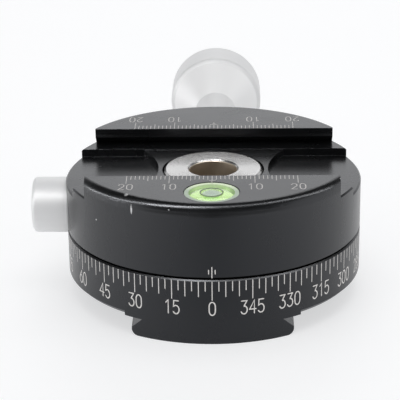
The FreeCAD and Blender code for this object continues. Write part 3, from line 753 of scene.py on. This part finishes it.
FIGURES = {
    "0": [bow(2, 4, 1.7, 2, 0, 180) + bow(2, 2, 1.7, 2, 180, 360) + [(3.7, 4)]],
    "1": [[(0.9, 4.8), (2.3, 6), (2.3, 0)]],
    "2": [bow(2, 4.3, 1.7, 1.7, 170, -35) + [(0.3, 0), (3.8, 0)]],
    "3": [[(0.4, 6), (3.5, 6), (1.9, 3.7)] + bow(1.9, 1.85, 1.8, 1.85, 90, -155)],
    "4": [[(2.9, 0), (2.9, 6), (0.2, 1.9), (3.9, 1.9)]],
    "5": [[(3.4, 6), (0.7, 6), (0.5, 3.3)] + bow(1.9, 1.9, 1.8, 1.95, 125, -150)],
    "6": [[(3.1, 6), (0.7, 3)] + bow(2, 1.9, 1.75, 1.9, 145, -215)],
    "7": [[(0.3, 6), (3.7, 6), (1.5, 0)]],
    "8": [bow(2, 4.5, 1.4, 1.5, -90, 270, 16), bow(2, 1.5, 1.75, 1.5, 90, 450, 16)],
    "9": [[(0.9, 0), (3.3, 3)] + bow(2, 4.1, 1.75, 1.9, -35, 325)],
}


def figure_strokes(text, height, slim, advance):
    """Strokes of a number about the middle of its base line, in millimetres."""
    up = height / GRID_HIGH
    across = up * slim
    start = -across * (advance * (len(text) - 1) + GRID_WIDE) / 2
    return [
        [(start + (place * advance + x) * across, y * up) for x, y in stroke]
        for place, figure in enumerate(text) for stroke in FIGURES[figure]
    ]


print("figures drawn:", " ".join(FIGURES))


# %% [markdown]
# Each stroke is a thin ribbon that lies on its surface: flat on the jaws, wrapped on the dial. Its
# two sides are set off square from the line and mitred at corners, and its ends are half round, as
# a round cutter leaves them.

# %% Ribbons that lie on a surface
SAME_POINT = 1e-6
LONGEST_MITRE = 1.8
SHARPEST_MITRE = 0.3
CAP_ANGLES = (135, 90, 45)


class Ribbons:
    """Flat strokes collected into one mesh; `lay` turns a drawn point into a place."""

    def __init__(self, lay):
        self.lay = lay
        self.mesh = bmesh.new()

    def stroke(self, points, width):
        """One stroke of even width, mitred at its corners, with rounded ends."""
        points = [Vector(p) for p in points]
        closed = (points[0] - points[-1]).length < SAME_POINT and len(points) > 2
        before = [points[-2] if closed else None, *points[:-1]]
        after = [*points[1:], points[1] if closed else None]
        sides = [self.side(width, *three) for three in zip(before, points, after)]
        left = [self.vertex(p + s) for p, s in zip(points, sides)]
        right = [self.vertex(p - s) for p, s in zip(points, sides)]
        for i in range(len(points) - 1):
            self.mesh.faces.new((left[i], right[i], right[i + 1], left[i + 1]))
        if not closed:
            self.cap(points[0], points[1], width, right[0], left[0])
            self.cap(points[-1], points[-2], width, left[-1], right[-1])

    def side(self, width, before, point, after):
        """The way from the line to its edge at a point, longer at a corner."""
        ways = [(b - a).normalized() for a, b in ((before, point), (point, after))
                if a is not None and b is not None]
        normals = [Vector((-w.y, w.x)) for w in ways]
        middle = sum(normals, Vector((0, 0))).normalized()
        stretch = min(1 / max(middle.dot(normals[0]), SHARPEST_MITRE), LONGEST_MITRE)
        return middle * (width / 2 * stretch)

    def cap(self, end, inner, width, first, last):
        """A half round end."""
        out = (end - inner).normalized() * (width / 2)
        side = Vector((-out.y, out.x))
        arc = [self.vertex(end + out * math.sin(a) - side * math.cos(a))
               for a in map(math.radians, CAP_ANGLES)]
        self.mesh.faces.new((last, *arc, first))

    def vertex(self, point):
        return self.mesh.verts.new(self.lay(point.x, point.y))


# %% [markdown]
# The fill of a mark is painted paler on the dial than on the jaws: painted light, since the upright
# dial gets less light than the jaw tops. A fine cloud between two tones gives each fill its dust.

# %% Engraving finish
MARK_PROUD = 0.012


def engraving(name, low, high):
    """Pale fill that has dust and dirt in it."""
    finish = Finish(name, Roughness=0.55)
    dusty = finish.noise(2200, detail=3.0)
    finish.feed("Base Color", finish.mix(dusty, grey(low, 0.04), grey(high, 0.03)))
    finish.feed("Normal", finish.bump(dusty, 0.00002, 0.4))
    return finish


# The dial's fill is painted paler than the jaws': painted light for the dimmer upright dial.
dial_fill = engraving("dial fill", 0.7, 0.9)
jaw_fill = engraving("jaw fill", 0.5, 0.7)
print("marks stand proud by", MARK_PROUD, "mm")


# %% [markdown]
# The dial reads the pan angle. It has a mark every 2.5 degrees, a longer one every 5, and the
# longest every 15 with its number under it. The numbers grow to the viewer's left, as the real
# dial's do.

# %% Dial marks and figures
DIAL_STEP, DIAL_TICK = 2.5, 0.21
DIAL_TOP = 15.75
DIAL_ENDS = {15: 11.15, 5: 12.0, 2.5: 13.4}
DIAL_NUMBERED = 15
DIAL_FIGURE = {"height": 3.3, "slim": 0.76, "advance": 4.85}
DIAL_FIGURE_BASE, DIAL_FIGURE_WIDTH = 7.35, 0.29


def on_drum(x, z):
    """x is the distance round the drum from its front, to the viewer's right."""
    angle = x / BODY_RADIUS
    radius = BODY_RADIUS + MARK_PROUD
    return Vector((radius * math.sin(angle), -radius * math.cos(angle), z)) * MM


def dial_scale():
    ribbons = Ribbons(on_drum)
    for index in range(int(360 / DIAL_STEP)):
        degrees = index * DIAL_STEP
        step = next(size for size in DIAL_ENDS if degrees % size == 0)
        x = -math.radians(degrees) * BODY_RADIUS
        ribbons.stroke([(x, DIAL_TOP), (x, DIAL_ENDS[step])], DIAL_TICK)
        if step == DIAL_NUMBERED:
            for stroke in figure_strokes(str(int(degrees)), **DIAL_FIGURE):
                ribbons.stroke([(x + px, DIAL_FIGURE_BASE + pz) for px, pz in stroke],
                               DIAL_FIGURE_WIDTH)
    add_piece("dial_scale", ribbons.mesh, "base", dial_fill)


dial_scale()

# %% [markdown]
# The turning body carries one index line over the dial, between two short ones.

# %% Index on the turning body
INDEX_WIDTH = 0.22
INDEX_LINE = (19.4, 16.75)
INDEX_SIDE, INDEX_SIDE_LINE = 0.75, (18.7, 17.7)


def index_mark():
    ribbons = Ribbons(on_drum)
    ribbons.stroke([(0, z) for z in INDEX_LINE], INDEX_WIDTH)
    for x in (-INDEX_SIDE, INDEX_SIDE):
        ribbons.stroke([(x, z) for z in INDEX_SIDE_LINE], INDEX_WIDTH)
    add_piece("index_mark", ribbons.mesh, "clamp", dial_fill)


index_mark()

# %% [markdown]
# Both jaws have a millimetre scale along the lip, so that a plate can be set off centre by the same
# amount each time. It counts from an arrow in the middle, and its numbers are read from the side
# of their own jaw, so the far scale is the near one turned half way round.

# %% Jaw scales
JAW_LIP = corners("movable_jaw")[0][1]
JAW_REACH = 20
TICK_START, TICK_WIDTH = 0.12, 0.17
TICK_ENDS = {10: 4.9, 5: 3.35, 1: 2.4}
NUMBERED = (-20, -10, 10, 20)
NUMBER_NEAR, NUMBER_FAR, NUMBER_WIDTH = 5.5, 9.0, 0.24
JAW_FIGURE = {"height": NUMBER_FAR - NUMBER_NEAR, "slim": 0.64, "advance": 5.3}
ARROW_TIP, ARROW_FOOT, ARROW_HALF, ARROW_WIDTH = 3.9, 2.6, 1.1, 0.15


def jaw_scale(name, body, side):
    """A scale read across the plate; side is -1 on the near jaw and 1 on the far one."""
    ribbons = Ribbons(lambda x, y: Vector((-side * x, side * y, JAW_TOP + MARK_PROUD)) * MM)
    for x in range(-JAW_REACH, JAW_REACH + 1):
        step = next(size for size in TICK_ENDS if x % size == 0)
        ribbons.stroke([(x, JAW_LIP + TICK_START), (x, JAW_LIP + TICK_ENDS[step])], TICK_WIDTH)
    for x in NUMBERED:
        for stroke in figure_strokes(str(abs(x)), **JAW_FIGURE):
            ribbons.stroke([(x + px, JAW_LIP + NUMBER_FAR - py) for px, py in stroke],
                           NUMBER_WIDTH)
    for hand in (-ARROW_HALF, ARROW_HALF):
        ribbons.stroke([(0, JAW_LIP + ARROW_TIP), (hand, JAW_LIP + ARROW_FOOT)], ARROW_WIDTH)
    add_piece(name, ribbons.mesh, body, jaw_fill)


jaw_scale("near_jaw_scale", "clamp", -1)
jaw_scale("far_jaw_scale", "jaw", 1)


# %% [markdown]
# ## Round level
# The vial is a pale cup filled with lime spirit. The spirit is given a little glow, painted light
# that stands in for the light a real vial scatters back from all sides. The far side of the cup is
# painted brightest and the rest of its wall a shaded grey-green: painted light and shade.

# %% Vial and spirit
LEVEL_Y = sum(corner[1] for corner in corners("level_cup")) / 2
SPIRIT_TOP = corners("level_liquid")[1][2]
CUP_LIT_FROM, CUP_LIT_FADE = LEVEL_Y + 2.6, 3.0

cup = Finish("vial wall", Roughness=0.3)
# The wall is painted a shaded grey-green, and its far side painted pale as lit: painted shade and
# light.
shaded_cup_wall = cup.mix(cup.noise(500), (0.36, 0.46, 0.34, 1), (0.44, 0.54, 0.4, 1))
cup_lit = cup.part(cup.place(), "Y").above(CUP_LIT_FROM * MM, CUP_LIT_FADE * MM)
cup.feed("Base Color", cup.mix(cup_lit, shaded_cup_wall, (0.85, 0.98, 0.68, 1)))
cup.paint("level_cup")
# The spirit's glow is painted light; the spirit is no lamp.
spirit = Finish("lime spirit", Roughness=0.3, Emission_Strength=0.22)
lime = spirit.mix(spirit.noise(300), (0.66, 0.95, 0.30, 1), (0.74, 0.98, 0.40, 1))
spirit.feed("Base Color", lime)
spirit.feed("Emission Color", lime)
spirit.paint("level_liquid")


# %% [markdown]
# A clear domed window closes the vial. Seen low, its far half mirrors the room and looks grey,
# while its near half lets the lime through as a crescent. A clear shader mixed with a mirror by
# Fresnel does that. The mirror is kept to the outer side, because seen from within the skin the
# Fresnel factor would mirror everything.

# %% Clear window
WINDOW_COLOUR, MIRROR_COLOUR = (0.8, 0.95, 0.7, 1), (0.95, 1.0, 0.95, 1)
WINDOW_TINT, WINDOW_BEND = 0.12, 1.5


def clear_window(name):
    """A thin clear skin: colour shows through by 1 - tint, the room mirrors by Fresnel."""
    finish = Finish(name, Roughness=0.25, Alpha=WINDOW_TINT, Base_Color=WINDOW_COLOUR)
    mirror = finish.node("ShaderNodeBsdfPrincipled", None, {
        "Metallic": 1.0, "Roughness": 0.06, "Base Color": MIRROR_COLOUR})
    outside = 1 - finish.node("ShaderNodeNewGeometry", output="Backfacing")
    glance = finish.node("ShaderNodeFresnel", None, {"IOR": WINDOW_BEND}) * outside
    finish.show(finish.node("ShaderNodeMixShader", None, {0: glance, 1: finish.skin, 2: mirror}))
    return finish


# %% [markdown]
# The window is a flat underside just over the spirit and a dome of a quarter ellipse. It stands for
# the solid's plain lens, in the same place.

# %% Domed window
VIAL = corners("level_lens")[1][0]
WINDOW_LOW, WINDOW_RIM = SPIRIT_TOP + 0.37, SPIRIT_TOP + 0.45
WINDOW_TOP = corners("level_lens")[1][2] - 0.02
DOME_STEPS = 10
DOME_ANGLES = [math.pi / 2 * i / DOME_STEPS for i in range(DOME_STEPS)]
DOME = [(VIAL * math.cos(a), WINDOW_RIM + (WINDOW_TOP - WINDOW_RIM) * math.sin(a))
        for a in DOME_ANGLES]
turned_piece("level_dome", "clamp", [(0, WINDOW_LOW), (VIAL, WINDOW_LOW), *DOME, (0, WINDOW_TOP)],
             clear_window("clear window"), lambda x, y, z: Vector((x, LEVEL_Y + y, z)),
             ["level_lens"])

# %% [markdown]
# The bubble is a flat drop of air under the window, darker in its middle and painted pale at its
# rim, a painted highlight. It sits back from the middle of the vial, as in the photograph. A thin
# black ring printed on the window shows where its place is when the clamp is level.

# %% Bubble and ring
AIR_Y, AIR_RADIUS = LEVEL_Y + 2.4, 2.3
AIR_MIDDLE = ((0, AIR_Y, SPIRIT_TOP + 0.25), AIR_RADIUS * 0.86)
AIR_PROFILE = ((0, 0.01), (AIR_RADIUS, 0.01), (AIR_RADIUS - 0.08, 0.15),
               (AIR_RADIUS - 0.4, 0.28), (0, 0.31))

bubble = Finish("air bubble", Roughness=0.2)
# The pale rim is a painted highlight.
bubble.feed("Base Color", bubble.mix(
    bubble.spot(*AIR_MIDDLE), (0.82, 0.95, 0.74, 1), (0.4, 0.52, 0.46, 1)))
turned_piece("level_air", "clamp", [(r, SPIRIT_TOP + h) for r, h in AIR_PROFILE], bubble,
             lambda x, y, z: Vector((x, AIR_Y + y, z)), ["level_bubble"])
black_ring = Finish("black ring", Roughness=0.5)
black_ring.feed("Base Color", black_ring.mix(
    black_ring.noise(900), (0.14, 0.2, 0.12, 1), (0.2, 0.27, 0.16, 1)))
black_ring.paint("level_ring")
